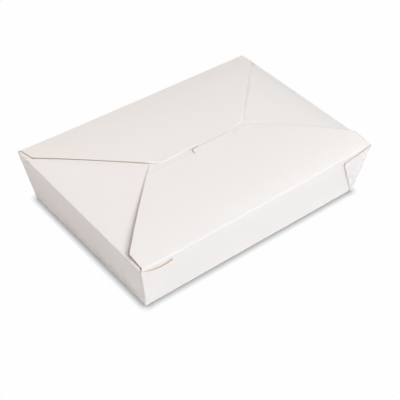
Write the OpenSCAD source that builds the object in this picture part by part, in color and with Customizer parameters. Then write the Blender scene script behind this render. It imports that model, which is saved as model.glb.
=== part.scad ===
// Folded paperboard food carton: a flared tray with web corners, closed by an
// envelope top. The end flaps lie lowest, the front flap over them, and the
// back flap, which opens first, locks under a tongue cut in the front flap.
// X runs along the length, Y from front to back, Z up from the table.

/* [Carton] */
// Length of the base, outside
base_l = 198; // [140:1:280]
// Depth of the base, outside
base_w = 138; // [110:1:200]
// Height of the long walls up to their top folds
height = 45; // [30:1:80]
// Outward lean of each end wall, at its top
flare_l = 8; // [4:0.5:14]
// Outward lean of each long wall, at its top
flare_w = 6.5; // [4:0.5:12]

/* [Board] */
// Thickness of the board
board = 0.45; // [0.3:0.05:0.7]
// Outer radius of a creased fold
fold_r = 0.9; // [0.8:0.1:1.6]
// Air left between layers that lie on each other unglued
layer_gap = 0.35; // [0.3:0.05:0.8]

/* [Flap outlines] */
// Length of the nearly straight end of a long flap, from its fold
shoulder = 15; // [8:1:24]
// How far that end draws in from the corner
shoulder_in = 1.7; // [0.5:0.1:5]
// Slant of the long flaps' sides, from the way the flap points
side_slant = 46; // [38:1:52]
// How far the end flaps reach past the point where the long flaps cross
end_tuck = 6; // [3:0.5:12]
// Width of an end flap at its tip
end_tip_w = 28; // [16:1:40]
// Clearance from an end flap's root to each long wall's top corner
end_root_gap = 2.5; // [1.5:0.5:6]
// Angle at which the long flaps spring up from their folds
long_rise = 3.5; // [2:0.1:6]
// Angle at which the end flaps spring up from their folds
end_rise = 2.6; // [1:0.1:3]

/* [Lock] */
// Length of the tab on the back flap's tip, up to the tongue
tab_len = 0.6; // [0.4:0.1:3]
// Distance of the front flap's crease before the middle of the carton
crease_before = 7.5; // [6:0.5:14]
// Length of the strip beyond that crease, tucked under the back flap
strip_len = 12.5; // [8:0.5:20]
// Angle by which that strip is bent down
strip_dip = 9; // [6:0.5:14]
// Width of the tongue cut out of the strip
tongue_w = 36; // [20:1:48]
// Distance of the tongue's free edge from the crease
tongue_len = 5; // [3:0.5:5.5]
// Corner radius of the tongue
tongue_r = 3.5; // [1:0.5:4]
// Offset of the tongue from the middle of the flap
tongue_shift = 9.5; // [0:0.5:14]
// Width of the slit round the tongue
slit = 0.4; // [0.3:0.1:0.8]
// How much narrower the back flap's tab is than the tongue
tab_short = 5; // [2:0.5:10]

/* [Web corners] */
// How far the free top of a folded web dips below the long wall's fold
web_dip = 4.7; // [2:0.1:8]

/* [Back hinge] */
// Diameter of the creased bead that the back flap turns on
bead_d = 0.8; // [0.7:0.05:1.4]
// Running gap between that bead and the top of the back wall
hinge_gap = 0.3; // [0.25:0.05:0.6]

/* [Hidden] */
$fn = 48;
fold_steps = 6;
web_steps = 10;
past = 20;
sheet_colour = "whitesmoke";

top_l = base_l + 2 * flare_l;
top_w = base_w + 2 * flare_w;
long_lean = atan(flare_w / height);
end_lean = atan(flare_l / height);
end_height = height - board - layer_gap;
end_top_l = base_l + 2 * end_height * tan(end_lean);
rim = end_height - fold_r;

// Outline shared by both long flaps
root_half = top_l / 2;
shoulder_half = root_half - shoulder_in;
function flap_half(d) = shoulder_half - (d - shoulder) * tan(side_slant);
cross_half = flap_half(top_w / 2);
end_depth = end_top_l / 2 - cross_half + end_tuck;
end_root_half = top_w / 2 - end_root_gap;
front_panel = top_w / 2 - crease_before;
front_depth = front_panel + strip_len;

// Hinge of the back flap
bead_r = bead_d / 2;
hinge_y = top_w / 2 - bead_r;
hinge_z = height - bead_r;
back_wall_top = hinge_z - bead_r - hinge_gap;

// Lock, where the two long flaps meet
tongue_edge = -crease_before + tongue_len;
tab_end = tongue_edge + slit;
tip_edge = tab_end + tab_len;
tongue_left = tongue_shift - tongue_w / 2;

// Web of each corner, folded double and glued on: half of what is left between two flared walls
web_layers = 2;
glue_sink = board / 2;
long_slant = norm([height, flare_w]);
end_slant = norm([height, flare_l]);
web_half = (90 - atan(flare_l / long_slant) - atan(flare_w / end_slant)) / 2;
web_lean = web_half - atan(flare_l / long_slant);
web_tip = [-(long_slant - web_dip) * tan(web_lean), long_slant - web_dip];

function unit(v) = v / norm(v);
// Normal on the inner side of a sheet that runs round the carton counter-clockwise
function inward(a, b) = let (d = unit(b - a)) [-d[1], d[0]];
// Points of the bend at b, at distance k from its centre
function bend(a, b, c, k) = let (
        n1 = inward(a, b),
        n2 = inward(b, c),
        centre = b + fold_r * (n1 + n2) / (1 + n1 * n2),
        from = atan2(n1[1], n1[0]),
        turn = acos(n1 * n2)
    ) [for (i = [0 : fold_steps]) let (t = from + turn * i / fold_steps) centre - k * [cos(t), sin(t)]];
// Outer face of a folded sheet through the fold points p, or its inner face at depth t
function face(p, t) = concat(
        [p[0] + t * inward(p[0], p[1])],
        [for (i = [1 : 1 : len(p) - 2]) each bend(p[i - 1], p[i], p[i + 1], fold_r - t)],
        [p[len(p) - 1] + t * inward(p[len(p) - 2], p[len(p) - 1])]
    );
function reversed(p) = [for (i = [len(p) - 1 : -1 : 0]) p[i]];
module sheet(p) polygon(concat(face(p, 0), reversed(face(p, board))));

// A section in Y and Z, drawn out along X
module along_x(l) rotate([90, 0, 90]) linear_extrude(l, center = true) children();
// A section in X and Z, drawn out along Y
module along_y(l) rotate([90, 0, 0]) linear_extrude(l, center = true) children();
// Everything from height h upwards whose plan is the child
module plan_above(h) translate([0, 0, h]) linear_extrude(height) children();

// Fold points of the bare tray, from wall top to wall top, the long way and the end way
long_tray = [[-top_w / 2, height], [-base_w / 2, 0], [base_w / 2, 0], [top_w / 2, height]];
end_tray = [[-top_l / 2, height], [-base_l / 2, 0], [base_l / 2, 0], [top_l / 2, height]];
// The tray's outer form, or at depth t its inner form
module tray_form(t) intersection() {
    along_x(2 * top_l) polygon(face(long_tray, t));
    along_y(2 * top_w) polygon(face(end_tray, t));
}
// Base and four walls up to the rim where the flaps begin to bend
module tray() difference() {
    tray_form(0);
    tray_form(board);
    translate([-top_l, -top_w, rim]) cube([2 * top_l, 2 * top_w, height]);
}

// Plan of the tongue and the panel just before it, grown by g all round its free edges
module tongue_plan(g) let (
        r = tongue_r + g,
        w = tongue_w + 2 * g,
        l = fold_r + tongue_len + g
    ) translate([tongue_left - g, -crease_before - fold_r]) {
    square([w, l - r]);
    translate([r, 0]) square([w - 2 * r, l]);
    for (x = [r, w - r]) translate([x, l - r]) circle(r);
}
// Plan of a long flap between depths d1 and d2 past its shoulders, hinged along the front fold
module long_plan(d1, d2) translate([0, -top_w / 2]) polygon([
        [-flap_half(d1), d1], [flap_half(d1), d1], [flap_half(d2), d2], [-flap_half(d2), d2]
    ]);
// Plan of the part beside the fold
module shoulder_plan() translate([0, -top_w / 2]) polygon([
        [-root_half, -past], [root_half, -past], [root_half, 0], [shoulder_half, shoulder],
        [-shoulder_half, shoulder], [-root_half, 0]
    ]);

front_fold = [-top_w / 2, height];
front_low = front_fold + [flare_w, -height] / 2;
rise_dir = [cos(long_rise), sin(long_rise)];
dip_dir = [cos(long_rise - strip_dip), sin(long_rise - strip_dip)];
crease = front_fold + front_panel / cos(long_rise) * rise_dir;
strip_end = crease + strip_len * dip_dir;

// Top of the front wall, its fold, and the front flap with the tongue standing in its plane
module front_flap() intersection() {
    along_x(2 * top_l) sheet([crease + 2 * tongue_len * rise_dir, front_fold, front_low]);
    plan_above(rim) {
        shoulder_plan();
        long_plan(shoulder, front_panel);
        tongue_plan(0);
    }
}
// Strip beyond the crease, bent down to slide under the back flap, cut away round the tongue
module strip() intersection() {
    along_x(2 * top_l) sheet([strip_end, crease]);
    plan_above(rim) difference() {
        long_plan(front_panel - fold_r, front_depth);
        tongue_plan(slit);
    }
}

end_fold = [end_top_l / 2, end_height];
end_low = end_fold - [flare_l, height] / 2;
end_tip = end_fold + end_depth * [-1, tan(end_rise)];
// Top of each end wall, its fold, and its flap
module end_flaps() for (s = [0, 1]) mirror([s, 0, 0]) intersection() {
    along_y(2 * top_w) sheet([end_low, end_fold, end_tip]);
    plan_above(rim) polygon([
        [end_fold[0] + past, -end_root_half], [end_fold[0] + past, end_root_half],
        [end_fold[0], end_root_half], [end_tip[0], end_tip_w / 2],
        [end_tip[0], -end_tip_w / 2], [end_fold[0], -end_root_half]
    ]);
}
// Top of the back wall, up to the gap under the hinge bead
module back_edge() intersection() {
    along_x(2 * root_half) sheet([[base_w / 2, 0], [top_w / 2, height]]);
    translate([-root_half, 0, rim]) cube([2 * root_half, top_w, back_wall_top - rim]);
}

// Web folded double and laid on the outside of a long wall, at all four corners
module webs() let (
        top = [flare_l, long_slant] * rim / height,
        run = top[0] - web_tip[0],
        drop = top[1] - web_tip[1]
    ) intersection() {
    along_y(2 * top_w) polygon([for (p = end_tray) [p[0], max(p[1], fold_r)]]);
    for (sx = [0, 1], sy = [0, 1]) mirror([sx, 0, 0]) mirror([0, sy, 0])
        translate([base_l / 2, -base_w / 2, 0]) rotate([90 + long_lean, 0, 0])
            translate([0, 0, -glue_sink]) linear_extrude(web_layers * board + glue_sink) polygon(concat(
                [[0, 0]],
                [for (i = [0 : web_steps]) let (t = i / web_steps) top - [run * t, drop * sin(90 * t)]]
            ));
}

module carton_body() color(sheet_colour) {
    tray();
    front_flap();
    strip();
    end_flaps();
    back_edge();
    webs();
}

// Plan of the back flap, its hinge along Y = 0 and its tip towards -Y
module back_plan() let (tip = hinge_y - tip_edge) {
    polygon([
        [-root_half, 0], [-shoulder_half, -shoulder], [-flap_half(tip), -tip],
        [flap_half(tip), -tip], [shoulder_half, -shoulder], [root_half, 0]
    ]);
    translate([tongue_left + tab_short, tab_end - hinge_y])
        square([tongue_w - tab_short, tab_len + fold_r]);
}

module back_flap() color(sheet_colour) translate([0, hinge_y, hinge_z]) {
    rotate([0, 90, 0]) cylinder(d = bead_d, h = 2 * root_half, center = true);
    rotate([-long_rise, 0, 0]) translate([0, 0, -board / 2]) linear_extrude(board) back_plan();
}

carton_body();
back_flap();
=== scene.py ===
import math

import bmesh
import bpy
import numpy as np
from mathutils import Matrix, Vector


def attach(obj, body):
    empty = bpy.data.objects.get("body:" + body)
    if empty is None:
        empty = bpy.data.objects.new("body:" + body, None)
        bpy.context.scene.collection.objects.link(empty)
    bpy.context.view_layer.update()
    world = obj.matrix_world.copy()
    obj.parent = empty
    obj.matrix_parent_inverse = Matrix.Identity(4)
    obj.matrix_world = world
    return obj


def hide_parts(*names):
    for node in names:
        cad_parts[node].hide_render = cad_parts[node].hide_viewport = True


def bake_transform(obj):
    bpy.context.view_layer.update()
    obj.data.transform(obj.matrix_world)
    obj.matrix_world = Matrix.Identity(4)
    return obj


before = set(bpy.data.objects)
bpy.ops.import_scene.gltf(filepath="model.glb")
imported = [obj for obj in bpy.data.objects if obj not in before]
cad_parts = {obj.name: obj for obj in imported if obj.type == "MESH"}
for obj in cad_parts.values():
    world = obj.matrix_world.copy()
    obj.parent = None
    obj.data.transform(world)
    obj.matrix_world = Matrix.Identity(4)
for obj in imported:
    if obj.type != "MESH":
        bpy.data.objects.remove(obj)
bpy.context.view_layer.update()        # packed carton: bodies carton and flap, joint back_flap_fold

mm = 0.001
sceneNow = bpy.context.scene
sceneNow.view_settings.view_transform = "Standard"

# Sizes that all sheets share, in millimetres
carton = {
    "baseLength": 198.0,
    "baseDepth": 138.0,
    "height": 45.0,
    "endFlare": 8.0,        # outward lean of an end wall at its top
    "longFlare": 6.5,       # outward lean of a long wall at its top
    "board": 0.45,
    "foldRadius": 0.95,
    "rim": 43.3,            # height where walls end and top folds begin
    "shoulder": 15.0,       # straight end of a long flap, from its fold
    "shoulderIn": 1.25,
    "sideSlant": 46.8,      # degrees, from the way a long flap points
    "leastHalf": 20.0,      # half width under which a long flap's share across no longer narrows
    "step": 2.6, "flapStep": 2.08,         # grid spacing on flat board and on the long flaps
    "edgeRound": 0.35, "edgeDrop": 0.12,   # die-cut edges of the long flaps are a little crushed
    "foldParts": 8,
    "weld": 0.004,          # points closer than this are one
    "tie": 0.00017,         # keeps points that panels share off a rounding tie
    "sharpAngle": 35.0,     # degrees, past which an edge is shaded sharp
}
topLength = carton["baseLength"] + 2 * carton["endFlare"]
topDepth = carton["baseDepth"] + 2 * carton["longFlare"]


# Shader maths
class Wire:
    # a socket in a sum: each operator adds one Math node
    def __init__(self, finish, socket):
        self.finish = finish
        self.socket = socket

    def math(self, operation, first, second):
        return self.finish.node("ShaderNodeMath", {"operation": operation}, {0: first, 1: second})

    def __add__(self, other):
        return self.math("ADD", self, other)

    def __sub__(self, other):
        return self.math("SUBTRACT", self, other)

    def __rsub__(self, other):
        return self.math("SUBTRACT", other, self)

    def __mul__(self, other):
        return self.math("MULTIPLY", self, other)

    __radd__ = __add__
    __rmul__ = __mul__


class Finish:
    # a node tree; node() adds one node, its settings first and then its sockets
    def __init__(self, owner):
        owner.use_nodes = True
        self.owner = owner
        self.tree = owner.node_tree
        self.tree.nodes.clear()

    def node(self, kind, settings=None, sockets=None, output=0):
        made = self.tree.nodes.new(kind)
        for key, value in (settings or {}).items():
            if key == "stops":         # a ramp's two stops
                for element, (place, colour) in zip(made.color_ramp.elements, value):
                    element.position = place
                    element.color = colour
            else:
                setattr(made, key, value)
        for key, value in (sockets or {}).items():
            if isinstance(value, Wire):
                self.tree.links.new(value.socket, made.inputs[key])
            else:
                made.inputs[key].default_value = value
        return Wire(self, made.outputs[output]) if len(made.outputs) else made

    def noise(self, place, scale, detail=3.0, roughness=0.55):
        return self.node("ShaderNodeTexNoise", None, {
            "Vector": place, "Scale": scale, "Detail": detail, "Roughness": roughness})

    # 6 and 7 are the colour sockets of a Mix node, and output 2 is its colour
    def mixColour(self, factor, first, second):
        return self.node("ShaderNodeMix", {"data_type": "RGBA"}, {
            "Factor": factor, 6: first, 7: second}, output=2)

    def place(self):
        return self.node("ShaderNodeTexCoord", output="Object")

    # crease attribute: above zero mostly a painted highlight (web tops are plainly paler), below zero a
    # painted shade
    def crease(self):
        return self.node("ShaderNodeAttribute", {"attribute_name": "crease"}, output="Fac")

    def ray(self, kind):
        return self.node("ShaderNodeLightPath", output=kind)

    def surface(self, sockets):
        shader = self.node("ShaderNodeBsdfPrincipled", None, sockets)
        self.node("ShaderNodeOutputMaterial", None, {"Surface": shader})
        return self.owner


# Coated white face: matt clay coat, faint fibre mottle and fine tooth,
# brighter where the crease attribute is above zero, a painted highlight on lit creases and edges, and
# browner where it is below, a painted shade by edges over gaps
def coatedWhite():
    # the crease colour is a painted highlight, and the brown after it a painted shade
    look = {"white": (0.835, 0.806, 0.782, 1), "shade": (0.800, 0.768, 0.742, 1),
            "crease": (0.95, 0.925, 0.90, 1), "paintedShade": (0.42, 0.325, 0.24, 1),
            "cloud": 28, "fibre": 620, "tooth": 1900,       # noise scales
            "cloudShare": 0.45, "toothShare": 0.6,          # fibre takes the rest
            "relief": 0.12, "reliefDepth": 0.00008, "roughFrom": 0.5, "roughSpan": 0.16}
    f = Finish(bpy.data.materials.new("coatedWhite"))
    place = f.place()
    cloud = f.noise(place, look["cloud"], 4)
    fibre = f.noise(place, look["fibre"], 3, 0.6)
    tooth = f.noise(place, look["tooth"], 2, 0.5)
    mottle = cloud * look["cloudShare"] + fibre * (1 - look["cloudShare"])
    tone = f.mixColour(mottle, look["white"], look["shade"])
    crease = f.crease()
    # painted highlight: lighter where the crease attribute is above zero
    tone = f.mixColour(crease, tone, look["crease"])
    # painted shade: browner where the crease attribute is below zero
    tone = f.mixColour(0 - crease, tone, look["paintedShade"])
    height = tooth * look["toothShare"] + fibre * (1 - look["toothShare"])
    bump = f.node("ShaderNodeBump", None, {
        "Strength": look["relief"], "Distance": look["reliefDepth"], "Height": height})
    return f.surface({"Base Color": tone, "Roughness": look["roughFrom"] + look["roughSpan"] * fibre,
                      "Normal": bump, "Specular IOR Level": 0.3})


# Uncoated brown back of the board: long fibres and darker flecks
def kraftBack():
    look = {"pale": (0.52, 0.36, 0.22, 1), "deep": (0.36, 0.23, 0.13, 1), "fleck": (0.20, 0.12, 0.07, 1),
            "fibre": 900, "cloud": 60, "specks": 1500,      # noise scales
            "stretch": (0.25, 1.0, 1.0),                    # fibres lie along X
            "fibreShare": 0.7, "speckFrom": 0.66, "speckTo": 0.74, "speckShare": 0.5,
            "relief": 0.25, "reliefDepth": 0.0001, "roughFrom": 0.72, "roughSpan": 0.18}
    f = Finish(bpy.data.materials.new("kraftBack"))
    place = f.place()
    stretched = f.node("ShaderNodeMapping", None, {"Vector": place, "Scale": look["stretch"]})
    fibre = f.noise(stretched, look["fibre"], 4, 0.65)
    cloud = f.noise(place, look["cloud"], 3)
    mottle = fibre * look["fibreShare"] + cloud * (1 - look["fibreShare"])
    tone = f.mixColour(mottle, look["pale"], look["deep"])
    stops = [(look["speckFrom"], (0, 0, 0, 1)), (look["speckTo"], (1, 1, 1, 1))]
    specks = f.node("ShaderNodeValToRGB", {"stops": stops}, {"Fac": f.noise(stretched, look["specks"], 1)})
    tone = f.mixColour(specks * look["speckShare"], tone, look["fleck"])
    bump = f.node("ShaderNodeBump", None, {
        "Strength": look["relief"], "Distance": look["reliefDepth"], "Height": fibre})
    return f.surface({"Base Color": tone, "Roughness": look["roughFrom"] + look["roughSpan"] * fibre,
                      "Normal": bump, "Specular IOR Level": 0.25})


# Die-cut edge: brown core under the white coat, paler where the crease attribute is above zero: a painted
# highlight on the lit tip and flap edges, plainly paler on the web tops
def cutEdge():
    look = {"core": (0.60, 0.43, 0.29, 1), "dark": (0.46, 0.31, 0.20, 1), "litPale": (0.92, 0.88, 0.82, 1),
            "fibre": 1400, "roughFrom": 0.7, "roughSpan": 0.2}
    f = Finish(bpy.data.materials.new("cutEdge"))
    fibre = f.noise(f.place(), look["fibre"], 3, 0.7)
    tone = f.mixColour(fibre, look["core"], look["dark"])
    # painted highlight on lit cut edges, and paler web tops
    tone = f.mixColour(f.crease(), tone, look["litPale"])
    return f.surface({"Base Color": tone, "Roughness": look["roughFrom"] + look["roughSpan"] * fibre,
                      "Specular IOR Level": 0.2})


boardFinish = [coatedWhite(), kraftBack(), cutEdge()]
print("board finishes made")


# Arc that rounds a path's corner and touches both runs: circle of the radius, centred on the bisector
def roundedCorner(before, corner, after, radius, parts):
    before, corner, after = (np.asarray(p, float) for p in (before, corner, after))
    back = (before - corner) / np.linalg.norm(before - corner)
    on = (after - corner) / np.linalg.norm(after - corner)
    half = math.acos(np.clip(back @ on, -1, 1)) / 2
    bisector = (back + on) / np.linalg.norm(back + on)
    centre = corner + bisector * radius / math.sin(half)
    start = corner + back * radius / math.tan(half) - centre
    turn = (math.pi - 2 * half) * np.sign(start[1] * bisector[0] - start[0] * bisector[1])
    angle = math.atan2(start[1], start[0]) + turn * np.linspace(0, 1, parts + 1)
    return centre + radius * np.stack([np.cos(angle), np.sin(angle)], 1)


# Points of a straight run between two ends, without the ends
def run(first, last, step):
    count = max(2, int(np.linalg.norm(np.subtract(last, first)) / step) + 1)
    share = np.linspace(0, 1, count + 1)[1:-1, None]
    return np.asarray(first) * (1 - share) + np.asarray(last) * share


# One grid of a sheet: its points, the way the coated face of its first row looks, and which sides are cut
def panel(points, looks, first=True, last=True, left=True, right=True, crease=0.0):
    rows, columns = points.shape[:2]
    part = {"points": points, "first": np.broadcast_to(first, columns - 1),
            "last": np.broadcast_to(last, columns - 1), "left": np.broadcast_to(left, rows - 1),
            "right": np.broadcast_to(right, rows - 1), "crease": np.broadcast_to(crease, (rows, columns))}
    normal = np.cross(np.gradient(points, axis=0), np.gradient(points, axis=1))
    normal /= np.linalg.norm(normal, axis=2, keepdims=True)
    if normal[0, columns // 2] @ np.asarray(looks, float) < 0:
        part = {"points": points[:, ::-1], "first": part["first"][::-1], "last": part["last"][::-1],
                "left": part["right"], "right": part["left"], "crease": part["crease"][:, ::-1]}
        normal = -normal[:, ::-1]
    return {**part, "normal": normal, "looks": looks}


# A panel seen in a mirror: flip is -1 for each axis that turns over
def mirrored(part, flip):
    flip = np.asarray(flip, float)
    return panel(part["points"] * flip, part["looks"] * flip, part["first"], part["last"],
                 part["left"], part["right"], part["crease"])


# Carton out of true, all growing with height: towards the right end the long walls lean in, the front one
# stands higher and the back one lower; the left back corner stands higher and eases off along X
outOfTrue = {"leanIn": 1.3, "frontUp": 0.8, "backDown": 0.85, "cornerUp": 1.1, "cornerLength": 28.0}


def drawn(points):
    x, y, z = points.T
    high, toRight = np.clip(z / carton["height"], 0, 1), np.clip(0.5 + x / topLength, 0, 1)
    aside = np.clip(2 * y / topDepth, -1, 1)
    front, back = high * (0.5 - 0.5 * aside) ** 2, high * (0.5 + 0.5 * aside) ** 4
    corner = np.exp(-np.clip(topLength / 2 + x, 0, None) / outOfTrue["cornerLength"])
    up = outOfTrue["frontUp"] * front * toRight ** 2 + back * (
        outOfTrue["cornerUp"] * corner - outOfTrue["backDown"] * toRight * (2 - toRight))
    return np.stack([x, y - outOfTrue["leanIn"] * high * toRight ** 2 * aside ** 3, z + up], 1)


# Closed board from panels: coated grid, back grid one board thickness under it, and strips along cut sides
def boardPiece(name, panels):
    coat = np.concatenate([part["points"].reshape(-1, 3) for part in panels])
    normal = np.concatenate([part["normal"].reshape(-1, 3) for part in panels])
    _, twin = np.unique(np.round(coat + carton["tie"], 3), axis=0, return_inverse=True)
    shared = np.zeros((twin.max() + 1, 3))
    np.add.at(shared, twin.ravel(), normal)      # panels that meet share one normal there
    normal = shared[twin.ravel()]
    coat = drawn(coat)
    back = coat - carton["board"] * normal / np.linalg.norm(normal, axis=1, keepdims=True)
    crease = np.concatenate([part["crease"].ravel() for part in panels])
    faces, finish, base = [], [], 0
    for part in panels:
        rows, columns = part["points"].shape[:2]
        outer = np.arange(rows * columns).reshape(rows, columns) + base
        inner = outer + len(coat)
        top = np.stack([outer[:-1, :-1], outer[1:, :-1], outer[1:, 1:], outer[:-1, 1:]], -1).reshape(-1, 4)
        under = top[:, ::-1] + len(coat)
        sides = np.concatenate([
            np.stack([outer[0, :-1], outer[0, 1:], inner[0, 1:], inner[0, :-1]], -1)[part["first"]],
            np.stack([outer[-1, 1:], outer[-1, :-1], inner[-1, :-1], inner[-1, 1:]], -1)[part["last"]],
            np.stack([outer[1:, 0], outer[:-1, 0], inner[:-1, 0], inner[1:, 0]], -1)[part["left"]],
            np.stack([outer[:-1, -1], outer[1:, -1], inner[1:, -1], inner[:-1, -1]], -1)[part["right"]]])
        faces += [top, under, sides]
        finish += [np.zeros(len(top), int), np.ones(len(under), int), np.full(len(sides), 2)]
        base += rows * columns
    mesh = bpy.data.meshes.new(name)
    mesh.from_pydata(np.concatenate([coat, back]) * mm, [], np.concatenate(faces).tolist())
    mesh.polygons.foreach_set("material_index", np.concatenate(finish).astype(np.int32))
    mesh.polygons.foreach_set("use_smooth", np.ones(len(mesh.polygons), bool))
    layer = mesh.attributes.new("crease", "FLOAT", "POINT")
    layer.data.foreach_set("value", np.tile(crease, 2).astype(np.float32))
    work = bmesh.new()
    work.from_mesh(mesh)
    bmesh.ops.remove_doubles(work, verts=work.verts, dist=carton["weld"] * mm)
    work.to_mesh(mesh)
    work.free()
    mesh.set_sharp_from_angle(angle=math.radians(carton["sharpAngle"]))
    edgeOf = np.empty(len(mesh.loops), np.int32)
    mesh.loops.foreach_get("edge_index", edgeOf)
    unshared = np.count_nonzero(np.bincount(edgeOf, minlength=len(mesh.edges)) != 2)
    for material in boardFinish:
        mesh.materials.append(material)
    piece = bpy.data.objects.new(name, mesh)
    sceneNow.collection.objects.link(piece)
    print(name, len(mesh.polygons), "faces,", unshared, "edges not shared by two")
    return piece


# Outer places of the walls at a height, in a straight line from base to top
def endWallX(z):
    return carton["baseLength"] / 2 + carton["endFlare"] * z / carton["height"]


def longWallY(z):
    return carton["baseDepth"] / 2 + carton["longFlare"] * z / carton["height"]


# Half width of a long flap at a distance from its fold: nearly straight shoulder, then slanted
def flapHalf(d):
    shoulderHalf = topLength / 2 - carton["shoulderIn"]
    slanted = shoulderHalf - (d - carton["shoulder"]) * math.tan(math.radians(carton["sideSlant"]))
    straight = topLength / 2 - carton["shoulderIn"] * d / carton["shoulder"]
    return np.where(d < carton["shoulder"], straight, slanted)


# Place across a long flap: -1 at its left edge, 1 at its right
def acrossFlap(x, d):
    return np.clip(x / np.maximum(flapHalf(d), carton["leastHalf"]), -1, 1)


# Sideways shift that widens a long flap: its root passes over to its shoulder in a straight line,
# and past that an amount grows exponentially over a length, left and right on their own
def widened(x, d, wide):
    aside = acrossFlap(x, d)
    past = np.clip(d - carton["shoulder"], 0, None)
    left, right = (amount * (1 - np.exp(-past / length))
                   for amount, length in (wide["left"], wide["right"]))
    shoulder = np.clip(d / carton["shoulder"], 0, 1)
    root = np.where(aside < 0, *wide["root"]) * (1 - shoulder)
    return aside * (root + wide["shoulder"] * shoulder + np.where(aside < 0, left, right))


# Height of a sprung flap above its fold: steep at the fold, then levelling out exponentially
def springRise(d, rise, length):
    return rise * (1 - np.exp(-d / length))


# Drop of a crushed edge: a parabola over the last part before the half width
def crushed(x, half):
    return carton["edgeDrop"] * np.clip(1 - (half - np.abs(x)) / carton["edgeRound"], 0, 1) ** 2


# Columns from an inner place out to a crushed edge
def crushedColumns(inner, edge, count):
    return np.append(np.linspace(inner, edge - math.copysign(carton["edgeRound"], edge), count), edge)


# Grid of points from their X, Y and Z, each broadcast over rows and columns
def spread(x, y, z):
    return np.stack(np.broadcast_arrays(x, y, z), -1).astype(float)


# Base, long walls, front flap, strip and tongue: one profile in Y and Z carried along X
longSheet = {
    "rise": 5.0, "riseLengthLeft": 20.0, "riseLengthRight": 11.0,   # right shoulder springs up more
    "skew": -0.029, "twist": 0.010,    # flap drawn aside as it was locked
    "wide": {"shoulder": -0.5, "root": (-1.3, -1.2), "left": (3.8, 50.0), "right": (2.4, 12.0)},
    "bulge": 1.2, "bulgeFrom": 10.0, "bulgePast": 2.0,     # right end flap pushes the right side up
    "topRadius": 1.8,
    "tuck": 0.5,               # wall ends stay inside the end walls
    "wallOut": {-1: 1.2, 1: 0.4},      # front wall's top reaches out, at the left and right end
    "foldIn": {-1: 2.0, 1: 1.1},       # and its fold draws in again
    "crease": 67.3,            # from the front fold to the crease of the strip
    # creaseHighlight is a painted highlight along the strip's crease
    "creaseRows": (0.9, 0.45, 0.2, 0.0), "creaseHighlight": (0.24, 0.8, 0.24),
    "stripLength": 12.5, "stripDip": 4.8, "stripDipEnd": {-1: 2.2, 1: 3.6},      # dips in degrees
    "tongueLeft": -5.9, "tongueRight": 30.4, "tongueLength": 4.8, "tongueRadius": 1.8,
    "tongueLift": 0.5,         # tab bends the tongue up
    "slit": 0.28, "slitFar": 0.6,
    "sideColumns": 26, "tongueColumns": 28, "tongueRows": 6,
    "shadeSide": 0.55, "shadeTongue": 0.5, "shadeCorner": 3.0,    # painted shade: browner along the front flap's right edge and the tongue's far edge, where they cast shadow lines
}


# Shape of the front flap over its flat plan: sprung by d and x, drawn aside by d, turned near its crease
# by d to the fourth, and pushed up on the right in half a sine wave along d
def frontFlapShape(x, d):
    s = longSheet
    share = np.clip(0.5 + x / topLength, 0, 1)
    length = s["riseLengthLeft"] + (s["riseLengthRight"] - s["riseLengthLeft"]) * share
    turned = s["twist"] * x * (d / s["crease"]) ** 4
    along = (d - s["bulgeFrom"]) / (s["crease"] + s["bulgePast"] - s["bulgeFrom"])
    pushed = s["bulge"] * np.clip(acrossFlap(x, d), 0, 1) ** 2 * np.sin(np.pi * np.clip(along, 0, 1))
    return (x + s["skew"] * d + widened(x, d, s["wide"]), -topDepth / 2 + d + turned,
            carton["height"] + springRise(d, s["rise"], length) + pushed)


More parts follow.
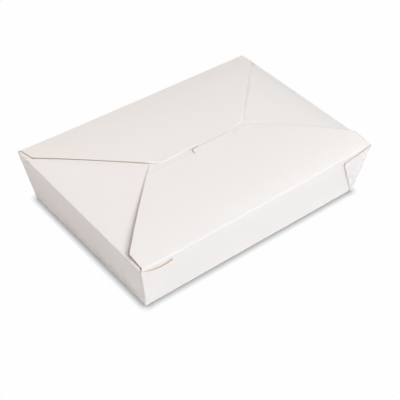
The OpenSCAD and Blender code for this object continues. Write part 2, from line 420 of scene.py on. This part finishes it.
def makeLongSheet():
    s = longSheet
    fold, parts, step = carton["foldRadius"], carton["foldParts"], carton["step"]
    crease, tongueRadius = s["crease"], s["tongueRadius"]
    frontY = -topDepth / 2
    lean = math.atan2(2 * s["rise"], s["riseLengthLeft"] + s["riseLengthRight"])
    rimBack = np.array([longWallY(carton["rim"]), carton["rim"]])
    baseBack, baseFront = np.array([carton["baseDepth"] / 2, 0]), np.array([-carton["baseDepth"] / 2, 0])
    topFront = np.array([frontY, carton["height"]])
    flapWay = topFront + np.array([math.cos(lean), math.sin(lean)])
    arcBack = roundedCorner(rimBack, baseBack, baseFront, fold, parts)
    arcFront = roundedCorner(baseBack, baseFront, topFront, fold, parts)
    arcTop = roundedCorner(baseFront, topFront, flapWay, s["topRadius"], parts)
    wallPath = np.concatenate([
        [rimBack], run(rimBack, arcBack[0], step), arcBack, run(arcBack[-1], arcFront[0], step), arcFront,
        run(arcFront[-1], arcTop[0], step), arcTop])
    # distances from the fold: even steps, close together at the crease
    even = np.arange(arcTop[-1, 0] - frontY + 1, crease - 1.5, carton["flapStep"])
    d = np.concatenate([even, [carton["shoulder"]], crease - np.array(s["creaseRows"])])
    d = np.unique(d)[:, None]
    onBase = wallPath[:, 1] < 1e-6
    wallHalf = np.where(onBase, endFoldStart(), endWallX(wallPath[:, 1]) - s["tuck"])[:, None]
    half, creaseHalf = flapHalf(d), float(flapHalf(crease))
    rows = len(wallPath) + len(d)
    # columns at the crease; rows before it follow them in proportion
    left = crushedColumns(s["tongueLeft"] - s["slit"], -creaseHalf, s["sideColumns"])[::-1]
    middle = s["tongueLeft"] + (s["tongueRight"] - s["tongueLeft"]) * (
        0.5 - 0.5 * np.cos(np.linspace(0, np.pi, s["tongueColumns"])))
    right = crushedColumns(s["tongueRight"] + s["slit"], creaseHalf, s["sideColumns"])

    # the front wall reaches out to the leaning end walls, and its fold draws in to the flap
    onFront = np.clip(wallPath[:, 1] / carton["height"], 0, 1) * (wallPath[:, 0] < 0)
    inward = np.concatenate([np.zeros(len(wallPath) - len(arcTop)), np.linspace(0, 1, len(arcTop))])
    foldOut = {side: ((s["wallOut"][side] - s["foldIn"][side] * inward) * onFront)[:, None]
               for side in (-1, 1)}

    def carried(columns):
        aside = columns / creaseHalf
        out = np.where(aside < 0, -foldOut[-1], foldOut[1]) * aside ** 4
        wall = spread(aside * wallHalf + out, wallPath[:, :1], wallPath[:, 1:])
        x = columns * half / creaseHalf
        flapX, flapY, flapZ = frontFlapShape(x, d)
        return np.concatenate([wall, spread(flapX, flapY, flapZ - crushed(x, half))])

    # strip beyond the crease: straight and dipped, its outer end following the slanted side of the flap
    sideEdge = s["tongueLength"] - tongueRadius
    # rows close together at the crease, then to the end of the tongue's straight sides, then on
    nearRows = np.concatenate([[0.2, 0.5], np.linspace(0.9, sideEdge, 4)])
    e = np.concatenate([nearRows, np.linspace(sideEdge, s["stripLength"], 9)[1:]])[:, None]
    dip = math.tan(math.radians(s["stripDip"]))
    stripHalf = flapHalf(crease + e)

    def bentDown(x, e, slope):
        _, _, creaseZ = frontFlapShape(x, crease)
        flapX, flapY, _ = frontFlapShape(x, crease + e)
        return spread(flapX, flapY, creaseZ - slope * e)

    # the dip eases outwards by the root of the share along the strip
    def strip(columns, inner, outward):
        share = (columns - inner) / (outward * creaseHalf - inner)
        dipEnd = math.tan(math.radians(s["stripDipEnd"][outward]))
        slope = dip + (dipEnd - dip) * np.sqrt(np.abs(share))
        return bentDown(inner + share * (outward * stripHalf - inner), e, slope)

    # painted highlight along the rows by the strip's crease
    paintedHighlight = np.zeros(rows + len(e))
    paintedHighlight[rows - 2:rows + 1] = s["creaseHighlight"]
    row = np.arange(rows + len(e) - 1)
    beside = (row >= rows - 1) & (row < rows + len(nearRows) - 1)      # rows cut along the tongue's sides
    backwards = np.array([0.0, 1.0, 0.0])       # the first row is on the back wall
    rightHighlightAndShade = paintedHighlight[:, None] + np.zeros(len(right))
    # painted shade: the front flap's right edge column darker, where the flap's edge casts a shadow line
    rightHighlightAndShade[len(wallPath):rows - 2, -1] = -s["shadeSide"]
    sheet = [
        panel(np.concatenate([carried(left), strip(left, left[-1], -1)]), backwards, right=beside,
              crease=paintedHighlight[:, None]),
        panel(np.concatenate([carried(right), strip(right, right[0], 1)]), backwards, left=beside,
              crease=rightHighlightAndShade),
        panel(carried(np.array([left[-1], middle[0]])), backwards, left=False, right=False),
        panel(carried(np.array([middle[-1], right[0]])), backwards, left=False, right=False)]

    # far edge of the tongue, or of the slit round it: straight, its corners rounded by a circle
    centre, halfWidth = (middle[0] + middle[-1]) / 2, (middle[-1] - middle[0]) / 2

    def reach(x, side, far):
        past = np.clip((np.abs(x - centre) - (halfWidth + side)) / (tongueRadius + side) + 1, 0, 1)
        return sideEdge + (tongueRadius + far) * np.sqrt(1 - past ** 2)

    t = np.linspace(0, 1, s["tongueRows"] + 1)[1:, None] * reach(middle, 0, 0)
    tongueX, tongueY, tongueZ = frontFlapShape(middle, crease + t)
    tongueZ = tongueZ + s["tongueLift"] * (t / s["tongueLength"]) ** 2
    grid = np.concatenate([carried(middle), spread(tongueX, tongueY, tongueZ)])
    onTongue = np.arange(len(grid) - 1) >= rows - 1
    # painted shadow: the tongue's far edge darker where it shades the tab, most at its left corner
    paintedShade = np.zeros(grid.shape[:2])
    paintedShade[-1] = -s["shadeTongue"] * (1 + np.exp(-(middle - middle[0]) / s["shadeCorner"]))
    sheet.append(panel(grid, backwards, left=onTongue, right=onTongue, crease=paintedShade))
    # strip past the tongue, its near edge following the tongue across the slit
    window = np.concatenate([left[-1:], middle[1:-1], right[:1]])
    farRows = e[len(nearRows) - 1:]
    share = (farRows - farRows[0]) / (farRows[-1] - farRows[0])
    depth = reach(window, s["slit"], s["slitFar"]) * (1 - share) + s["stripLength"] * share
    upwards = np.array([0.0, 0.0, 1.0])
    sheet.append(panel(bentDown(window, depth, dip), upwards, left=False, right=False))
    return boardPiece("longSheet", sheet)


# End wall, its flap and two web corners: a profile in X and Z carried along Y, webs wrapped round
# the corners; -1 is the left end and 1 the right
endSheet = {
    "rise": {-1: 5.1, 1: 5.6}, "riseLengthBack": {-1: 7.0, 1: 14.0},     # springs up against the back flap
    "riseLengthFront": {-1: 50.0, 1: 14.0},    # left one lies lower under the front flap
    "underLong": {-1: 0.75, 1: 0.48}, "ease": 0.2,    # held under the long flaps, eased over a small height
    "margin": 0.5, "release": 0.6,             # past their slanted edges the hold eases off
    "dropFront": {-1: 0.8, 1: 0.5}, "dropBack": 0.1,     # end folds lie under the long flaps' folds
    "topRadiusFront": {-1: 1.7, 1: 1.1}, "topRadiusBack": 0.8, "radiusSpan": 60.0,
    "rootHalf": 74.5, "tipHalf": 14.0, "reach": 70.0,
    "lean": {-1: (0.6, 0.9), 1: (0.4, 0.0)},   # walls lean out at the top, all along and at the front
    "cornerRadius": 1.0, "cornerTopFront": {-1: 43.9, 1: 44.3}, "cornerTopBack": 43.9,
    "webOut": 0.98, "webOutLow": 0.5, "webGrow": 14.0,   # coated face of the outer layer, from the wall
    "webThick": 0.95,          # both layers
    "webWidth": 25.5,
    "webEnd": 0.985, "webCrowd": 1.15,         # columns end short of the tip, closer at the corner
    "webDip": {-1: (5.2, 17.0), 1: (5.4, 35.0)},     # sag of its cut top, and how far along it is deepest
    "edgePale": {-1: (0.08, 0.7, 3.0), 1: (0.28, 0.45, 3.0)},       # cut tops paler towards the corner
    "wallStop": 0.3, "flapStart": 0.8,         # wall ends under its fold, flap starts past it
    "columns": 56, "webColumns": 24, "cornerParts": 6,
}


# Height of whichever long flap or strip lies lowest over a place in plan
def longFlapsOver(x, y):
    d = topDepth / 2 + y
    onStrip = np.clip(d - longSheet["crease"], 0, longSheet["stripLength"] + 1)
    front = frontFlapShape(x, np.minimum(d, longSheet["crease"]))[2]
    front = front - math.tan(math.radians(longSheet["stripDip"])) * onStrip
    back = backFlapShape(x, topDepth / 2 - y)[2]
    beside = [np.clip(np.abs(x) - flapHalf(depth) - endSheet["margin"], 0, None)
              for depth in (d, topDepth / 2 - y)]
    return np.minimum(front + endSheet["release"] * beside[0], back + endSheet["release"] * beside[1])


# Profile of the fold between base and end wall, in X and Z
def endFold():
    corner = np.array([carton["baseLength"] / 2, 0.0])
    baseWay = corner - np.array([1.0, 0.0])
    wallWay = corner + np.array([carton["endFlare"], carton["height"]])
    return roundedCorner(baseWay, corner, wallWay, carton["foldRadius"], carton["foldParts"])


# Place where that fold leaves the base
def endFoldStart():
    return endFold()[0, 0]


# Stand-off of a web from its long wall: grows from the base fold upwards
def webStand(z):
    s = endSheet
    return s["webOutLow"] + (s["webOut"] - s["webOutLow"]) * np.clip(z / s["webGrow"], 0, 1)


# One web corner from the side of the end wall: quarter round, then the web folded double on its slanted
# free edge, its cut top sagging in a sine wave
def webCorner(edge, low, cornerTop, dip, edgePale):
    s = endSheet
    corner, foldTop = s["cornerRadius"], edge[low, 2]
    # the round ends at the web: heights raised to the corner's top, places on the long wall's face
    z = edge[:, 2]
    onWall = np.arange(len(edge)) > low
    raised = foldTop + (z - foldTop) * (cornerTop - foldTop) / (z[-1] - foldTop)
    endZ = np.where(onWall, raised, z)
    inset = np.where(onWall, 0, endWallX(z) - edge[:, 0])
    endX = endWallX(endZ) - inset - corner
    endY = -(longWallY(endZ) + webStand(endZ) - inset)
    angle = np.linspace(0, np.pi / 2, s["cornerParts"] + 1)
    onWeb = 1 - (1 - np.sin(angle)) ** 3
    wrap = spread(edge[:, :1] + (endX[:, None] - edge[:, :1]) * (1 - np.cos(angle)),
                  edge[:, 1:2] + (endY[:, None] - edge[:, 1:2]) * np.sin(angle),
                  z[:, None] + (endZ - z)[:, None] * onWeb)
    onFold = np.arange(len(edge) - 1) < low
    base, near, length = edgePale
    pale = np.zeros((len(edge), 1))
    pale[-1] = base + near
    wrap = panel(wrap, np.array([0.0, 0.0, -1.0]), left=False, right=onFold, crease=pale)
    # down the outer layer, round the fold, up the inner layer
    webZ0 = endZ[low:]
    a = s["webWidth"] * np.linspace(0, s["webEnd"], s["webColumns"]) ** s["webCrowd"]
    webTop = cornerTop - dip[0] * np.sin(np.pi / 2 * a / dip[1])
    tipTop = cornerTop - dip[0] * math.sin(math.pi / 2 * s["webWidth"] / dip[1])
    freeEdge = foldTop + (tipTop - foldTop) * a / s["webWidth"]
    share = ((webZ0 - webZ0[0]) / (webZ0[-1] - webZ0[0]))[:, None]
    layer = freeEdge + share * (webTop - freeEdge)
    turn = np.linspace(0, np.pi, carton["foldParts"] + 1)[1:-1, None]
    bulge = s["webThick"] / 2
    slope = math.atan2(s["webWidth"], tipTop - foldTop)
    webA = np.concatenate([a + 0 * layer, a + bulge * np.sin(turn) * math.cos(slope), a + 0 * layer])
    webZ = np.concatenate([layer[::-1], freeEdge - bulge * np.sin(turn) * math.sin(slope), layer])
    behind = np.concatenate([0 * layer, bulge * (1 - np.cos(turn)) + 0 * a, s["webThick"] + 0 * layer])
    web = spread(endWallX(webZ) - corner - webA, -(longWallY(webZ) + webStand(webZ) - behind), webZ)
    pale = np.zeros(web.shape[:2])
    pale[[0, -1]] = base + near * np.exp(-a / length)
    free = np.arange(len(web) - 1) >= len(webZ0) - 1
    web = panel(web, np.array([0.0, -1.0, 0.0]), left=free, crease=pale)
    return [wrap, web]


def makeEndSheet(name, side):
    s = endSheet
    corner = s["cornerRadius"]
    low = endFold()

    def arc(radius, length, drop):
        lean = math.atan2(s["rise"][side], length)
        topEnd = np.array([endWallX(carton["height"] - drop), carton["height"] - drop])
        flapWay = topEnd + np.array([-math.cos(lean), math.sin(lean)])
        return roundedCorner(low[-1], topEnd, flapWay, radius, carton["foldParts"])

    lengthFront, dropFront = s["riseLengthFront"][side], s["dropFront"][side]
    softArc = arc(s["topRadiusFront"][side], lengthFront, dropFront)
    lengthBack = s["riseLengthBack"][side]
    sharpArc = arc(s["topRadiusBack"], lengthBack, s["dropBack"])
    topX = endWallX(carton["height"])
    top = softArc[0, 1] - s["wallStop"]
    wallTop = (endWallX(top), top)
    wall = np.concatenate([low, run(low[-1], wallTop, carton["step"]), [wallTop]])
    flapStart = topX - softArc[-1, 0] + s["flapStart"]
    d = np.append(np.arange(flapStart, s["reach"] - 1, carton["step"]), s["reach"])
    # half width: wall and its web, then the root of the flap and its taper
    z = wall[:, 1]
    inset = endWallX(z) - wall[:, 0]
    wallHalf = longWallY(z) + webStand(z) - inset - corner
    arcHalf = wallHalf[-1] + (s["rootHalf"] - wallHalf[-1]) * np.linspace(0, 1, len(softArc))
    taper = s["rootHalf"] + (s["tipHalf"] - s["rootHalf"]) * d / s["reach"]
    half = np.concatenate([wallHalf, arcHalf, taper])
    y = half[:, None] * np.linspace(1, -1, s["columns"])
    toFront = np.clip(0.5 - y / (2 * s["radiusSpan"]), 0, 1) ** 2
    # fold softer towards the front; flap sprung, and pressed down towards its tip
    rowsWall, rowsArc = len(wall), len(softArc)
    onArc = toFront[rowsWall:rowsWall + rowsArc, :, None]
    arcXZ = sharpArc[:, None] * (1 - onArc) + softArc[:, None] * onArc
    onFlap = toFront[rowsWall + rowsArc:]
    length = lengthBack + (lengthFront - lengthBack) * np.sqrt(onFlap)
    drop = s["dropBack"] + (dropFront - s["dropBack"]) * onFlap
    free = carton["height"] - drop + springRise(d[:, None], s["rise"][side], length)
    flapX, flapY = topX - d[:, None], y[rowsWall + rowsArc:]
    under = longFlapsOver(side * flapX, flapY) - s["underLong"][side]
    # smooth lesser of the two: half their sum less the eased root of their squared difference
    flapZ = (free + under - np.sqrt((free - under) ** 2 + s["ease"] ** 2)) / 2
    x = np.concatenate([wall[:, :1] + 0 * y[:rowsWall], arcXZ[..., 0], flapX + 0 * flapZ])
    height = np.concatenate([z[:, None] + 0 * y[:rowsWall], arcXZ[..., 1], flapZ])
    grid = spread(x, y, height)
    wrapped = rowsWall + rowsArc // 2        # rows that the corners wrap round
    above = np.arange(len(grid) - 1) >= wrapped - 1
    sheet = [panel(grid, np.array([0.0, 0.0, -1.0]), left=above, right=above)]
    dip, pale = s["webDip"][side], s["edgePale"][side]
    sheet += webCorner(grid[:wrapped, -1], len(low) - 1, s["cornerTopFront"][side], dip, pale)
    turned = np.array([1.0, -1.0, 1.0])
    backCorner = webCorner(grid[:wrapped, 0] * turned, len(low) - 1, s["cornerTopBack"], dip, pale)
    sheet += [mirrored(part, turned) for part in backCorner]
    along, front = s["lean"][side]
    for part in sheet:
        y, z = part["points"][..., 1], part["points"][..., 2]
        out = along + front * np.clip(0.5 - y / topDepth, 0, 1) ** 1.5
        part["points"] = part["points"] + spread(out * np.clip(z / carton["height"], 0, 1), 0.0, 0.0)
    if side < 0:
        sheet = [mirrored(part, (-1, 1, 1)) for part in sheet]
    return boardPiece(name, sheet)


# Back flap from the top of the back wall over its fold to the tab under the tongue
backFlap = {
    "rise": 5.2, "riseLengthLeft": 21.0, "riseLengthRight": 28.0,
    "skew": 0.039, "twist": 0.020,     # flap drawn aside as it was locked
    "wide": {"shoulder": -0.5, "root": (0.0, 0.0), "left": (-1.0, 30.0), "right": (-0.1, 10.0)},
    "topRadius": 1.3, "foldParts": 12,
    "wallIn": 0.5, "rootIn": 1.0,      # fold ends short of the corners
    "tip": 76.7,               # from the fold to the tip edge
    "tipRows": (0.9, 0.6, carton["edgeRound"], 0.15, 0.0),
    "tabLeft": -5.5, "tabRight": 34.5, "tabNeckLeft": -4.6, "tabNeckRight": 24.7, "tabNeckLength": 2.2,
    "tabRows": (0.35, 0.7, 1.0, 1.4, 1.8, 2.4, 3.2, 4.5, 6.0, 8.0, 9.6, 11.0),      # past the tip
    "tabDrop": 0.75, "tabDropLength": 3.0,
    "sideColumns": 20, "tabColumns": 26,
    "tipHighlight": 1.0, "highlightFrom": 68.0, "highlightOver": 4.0,     # painted highlight: tip and edges paler where it lies on the front flap, where they catch light
    "shadeSide": 0.5,         # painted shade: browner before that along the left edge, over its gap
}


# Shape of the back flap over its flat plan: sprung by d and x, drawn aside by d, turned near its tip
def backFlapShape(x, d):
    s = backFlap
    share = np.clip(0.5 + x / topLength, 0, 1)
    length = s["riseLengthLeft"] + (s["riseLengthRight"] - s["riseLengthLeft"]) * share
    turned = s["twist"] * x * np.clip(d / s["tip"], 0, 1) ** 4
    return (x + s["skew"] * d + widened(x, d, s["wide"]), topDepth / 2 - d + turned,
            carton["height"] + springRise(d, s["rise"], length))


def makeBackFlap():
    s = backFlap
    backY = topDepth / 2
    lean = math.atan2(2 * s["rise"], s["riseLengthLeft"] + s["riseLengthRight"])
    rimBack = np.array([longWallY(carton["rim"]), carton["rim"]])
    baseBack, topBack = np.array([carton["baseDepth"] / 2, 0]), np.array([backY, carton["height"]])
    flapWay = topBack + np.array([-math.cos(lean), math.sin(lean)])
    arcTop = roundedCorner(baseBack, topBack, flapWay, s["topRadius"], s["foldParts"])
    # distances from the fold: even steps, close together at the tip
    even = np.arange(backY - arcTop[-1, 0] + 0.6, s["tip"] - 1.5, carton["flapStep"])
    d = np.concatenate([even, [carton["shoulder"]], s["tip"] - np.array(s["tipRows"])])
    d = np.unique(d)[:, None]
    wallPath = np.concatenate([[rimBack], arcTop])
    drawnIn = np.linspace(s["wallIn"], s["rootIn"], len(wallPath))
    wallHalf = (endWallX(wallPath[:, 1]) - drawnIn)[:, None]
    half = flapHalf(d) - s["rootIn"] * np.clip(1 - d / carton["shoulder"], 0, 1)
    tipHalf = float(flapHalf(s["tip"]))
    rows = len(wallPath) + len(d)
    left = crushedColumns(s["tabLeft"], -tipHalf, s["sideColumns"])[::-1]
    middle = np.linspace(s["tabLeft"], s["tabRight"], s["tabColumns"])
    right = crushedColumns(s["tabRight"], tipHalf, s["sideColumns"] // 2)

    # the tip edge is crushed beside the tab, where tipCut is 1, and whole where the tab runs on
    def carried(columns, tipCut):
        wall = spread(columns * wallHalf / tipHalf, wallPath[:, :1], wallPath[:, 1:])
        x = columns * half / tipHalf
        flapX, flapY, flapZ = backFlapShape(x, d)
        flapZ = flapZ - crushed(x, half) - tipCut * crushed(d, s["tip"])
        return np.concatenate([wall, spread(flapX, flapY, flapZ)])

    # tab: necks in over its first stretch, dips through the slit and runs on under the tongue
    t = np.array(s["tabRows"])[:, None]
    neck = 1 - np.clip(1 - t / s["tabNeckLength"], 0, 1) ** 2
    tabLeft = s["tabLeft"] + (s["tabNeckLeft"] - s["tabLeft"]) * neck
    tabRight = s["tabRight"] + (s["tabNeckRight"] - s["tabRight"]) * neck
    share = (middle - middle[0]) / (middle[-1] - middle[0])
    tabX, tabY, _ = backFlapShape(tabLeft + share * (tabRight - tabLeft), s["tip"] + t)
    _, _, tipZ = backFlapShape(0.0, s["tip"])
    drop = s["tabDrop"] * (1 - np.exp(-(t / s["tabDropLength"]) ** 2))
    backwards = np.array([0.0, 1.0, 0.0])       # the first row is on the back wall
    # painted highlight: the tip's last rows, and the two outer columns of each side as they near the tip
    tipRow = rows - 4
    paintedHighlight = np.where(np.arange(rows) < tipRow, 0.0, s["tipHighlight"])[:, None]
    distance = np.concatenate([np.zeros((len(wallPath), 1)), d])
    litPale = np.clip((distance - s["highlightFrom"]) / s["highlightOver"], 0, 1)
    lightAndShadeLeft = np.maximum(paintedHighlight, litPale * (np.arange(len(left)) < 2))
    highlightRight = np.maximum(paintedHighlight, litPale * (np.arange(len(right)) >= len(right) - 2))
    # painted shade: the left edge browner before the tip, where it stands over a shaded gap
    lightAndShadeLeft[len(wallPath):, 0] -= s["shadeSide"] * (1 - litPale[len(wallPath):, 0])
    cutLeft, cutRight = np.append(np.ones(len(left) - 1), 0.0), np.append(0.0, np.ones(len(right) - 1))
    sheet = [panel(carried(left, cutLeft), backwards, right=False, crease=lightAndShadeLeft),
             panel(carried(right, cutRight), backwards, left=False, crease=highlightRight)]
    grid = np.concatenate([carried(middle, 0.0), spread(tabX, tabY, tipZ - drop)])
    onTab = np.arange(len(grid) - 1) >= rows - 1
    highlightTab = np.zeros(grid.shape[:2])
    # painted highlight on the tab's cut sides at the tip
    highlightTab[tipRow:, [0, -1]] = s["tipHighlight"]
    highlightTab[rows - 1:, -2] = s["tipHighlight"] / 2
    sheet.append(panel(grid, backwards, left=onTab, right=onTab, crease=highlightTab))
    return boardPiece("backFlap", sheet)


longPiece = makeLongSheet()
endPieces = [makeEndSheet("endSheetLeft", -1), makeEndSheet("endSheetRight", 1)]
for piece in (longPiece, *endPieces):
    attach(piece, "carton")
    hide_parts("carton_body")
backPiece = makeBackFlap()
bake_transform(backPiece)
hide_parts("back_flap")
print("carton folded")

# Camera where the photograph was taken from: orbit angles round a point near the carton's middle,
# and a small roll
camera = {"azimuth": -40.495, "elevation": 42.177, "distance": 741.0, "roll": 2.344,
          "aim": (-18.094, -26.639, 23.0), "focalPixels": 1016.0, "framePixels": 400, "sensor": 36.0}


def placeCamera():
    c = camera
    lens = bpy.data.cameras.new("camera")
    lens.sensor_width = c["sensor"]
    lens.lens = c["focalPixels"] / c["framePixels"] * c["sensor"]
    lens.clip_start, lens.clip_end = 0.01, 20
    a, e = math.radians(c["azimuth"]), math.radians(c["elevation"])
    back = Vector((math.sin(a) * math.cos(e), -math.cos(a) * math.cos(e), math.sin(e)))
    eye = bpy.data.objects.new("camera", lens)
    roll = Matrix.Rotation(math.radians(c["roll"]), 4, "Z")
    turn = back.to_track_quat("Z", "Y").to_matrix().to_4x4() @ roll
    eye.matrix_world = Matrix.Translation((Vector(c["aim"]) + back * c["distance"]) * mm) @ turn
    sceneNow.collection.objects.link(eye)
    sceneNow.camera = eye


# Softboxes: place and size in millimetres, power and tint; all are aimed at one point
lampAim = (0, 0, 20)
softboxes = {
    "rearLeft": {"at": (-532, 922, 746), "size": 600, "watts": 9.9, "tint": (1.08, 1.0, 0.975)},
    "front": {"at": (93, -1061, 746), "size": 600, "watts": 8.55, "tint": (0.99, 1.0, 1.04)},
    "right": {"at": (1600, -582, 1194), "size": 960, "watts": 11.0, "tint": (0.975, 1.0, 1.0)},
    "high": {"at": (140, -615, 1130), "size": 600, "watts": 5.6, "tint": (0.975, 1.0, 1.0)},
    "left": {"at": (-1272, 0, 270), "size": 600, "watts": 0.85, "tint": (1.02, 1.0, 1.0)},
}


def hangSoftbox(name, box):
    lamp = bpy.data.lights.new(name, "AREA")
    lamp.shape = "SQUARE"
    lamp.size = box["size"] * mm
    lamp.energy = box["watts"]
    lamp.color = box["tint"]
    lampObject = bpy.data.objects.new(name, lamp)
    at = Vector(box["at"]) * mm
    lampObject.location = at
    lampObject.rotation_mode = "QUATERNION"
    lampObject.rotation_quaternion = (at - Vector(lampAim) * mm).to_track_quat("Z", "Y")
    sceneNow.collection.objects.link(lampObject)


# Pale floor: matt white that lights the carton; where it is seen it is lifted to white,
# and shows a painted soft shadow where something stands close: an occlusion test darkens it towards a faint
# emission, with a little real diffuse light
floor = {"half": 6000.0, "white": (0.9, 0.9, 0.9, 1), "contact": (0.04, 0.04, 0.04, 1), "shadowLevel": 0.33,
         "lift": 0.985, "near": 5.5, "closed": 0.38}


def layFloor():
    h = floor["half"] * mm
    mesh = bpy.data.meshes.new("floor")
    mesh.from_pydata([(-h, -h, 0), (h, -h, 0), (h, h, 0), (-h, h, 0)], [], [(0, 1, 2, 3)])
    f = Finish(bpy.data.materials.new("paleFloor"))
    seen = f.ray("Is Camera Ray") + f.ray("Is Glossy Ray")
    matt = f.node("ShaderNodeBsdfDiffuse", None, {"Color": floor["white"]})
    white = f.node("ShaderNodeEmission", None, {"Color": (1, 1, 1, 1), "Strength": 1.0})
    free = f.node("ShaderNodeAmbientOcclusion", {"samples": 16},
                  {"Distance": floor["near"] * mm}, output="AO")
    clear = f.node("ShaderNodeMapRange", {"clamp": True}, {
        "Value": free, "From Min": floor["closed"], "From Max": 1.0,
        "To Min": 0.0, "To Max": floor["lift"]})
    # painted contact shadow: a faint emission and a little diffuse light, mixed in by the occlusion test
    shaded = f.node("ShaderNodeAddShader", None, {
        0: f.node("ShaderNodeBsdfDiffuse", None, {"Color": floor["contact"]}),
        1: f.node("ShaderNodeEmission", None, {"Color": (1, 1, 1, 1), "Strength": floor["shadowLevel"]})})
    watched = f.node("ShaderNodeMixShader", None, {0: clear, 1: shaded, 2: white})
    mixed = f.node("ShaderNodeMixShader", None, {0: seen, 1: matt, 2: watched})
    f.node("ShaderNodeOutputMaterial", None, {"Surface": mixed})
    mesh.materials.append(f.owner)
    ground = bpy.data.objects.new("floor", mesh)
    sceneNow.collection.objects.link(ground)


# Even light from all round, seen as white by the camera
ambient = {"strength": 0.024, "tint": (1.0, 1.0, 1.0, 1)}


def lightWorld():
    world = bpy.data.worlds.new("studio")
    sceneNow.world = world
    f = Finish(world)
    soft = f.node("ShaderNodeBackground", None, {
        "Color": ambient["tint"], "Strength": ambient["strength"]})
    white = f.node("ShaderNodeBackground", None, {"Color": (1, 1, 1, 1), "Strength": 1.0})
    mixed = f.node("ShaderNodeMixShader", None, {0: f.ray("Is Camera Ray"), 1: soft, 2: white})
    f.node("ShaderNodeOutputWorld", None, {"Surface": mixed})


placeCamera()
for boxName, box in softboxes.items():
    hangSoftbox(boxName, box)
layFloor()
lightWorld()
print("studio set")
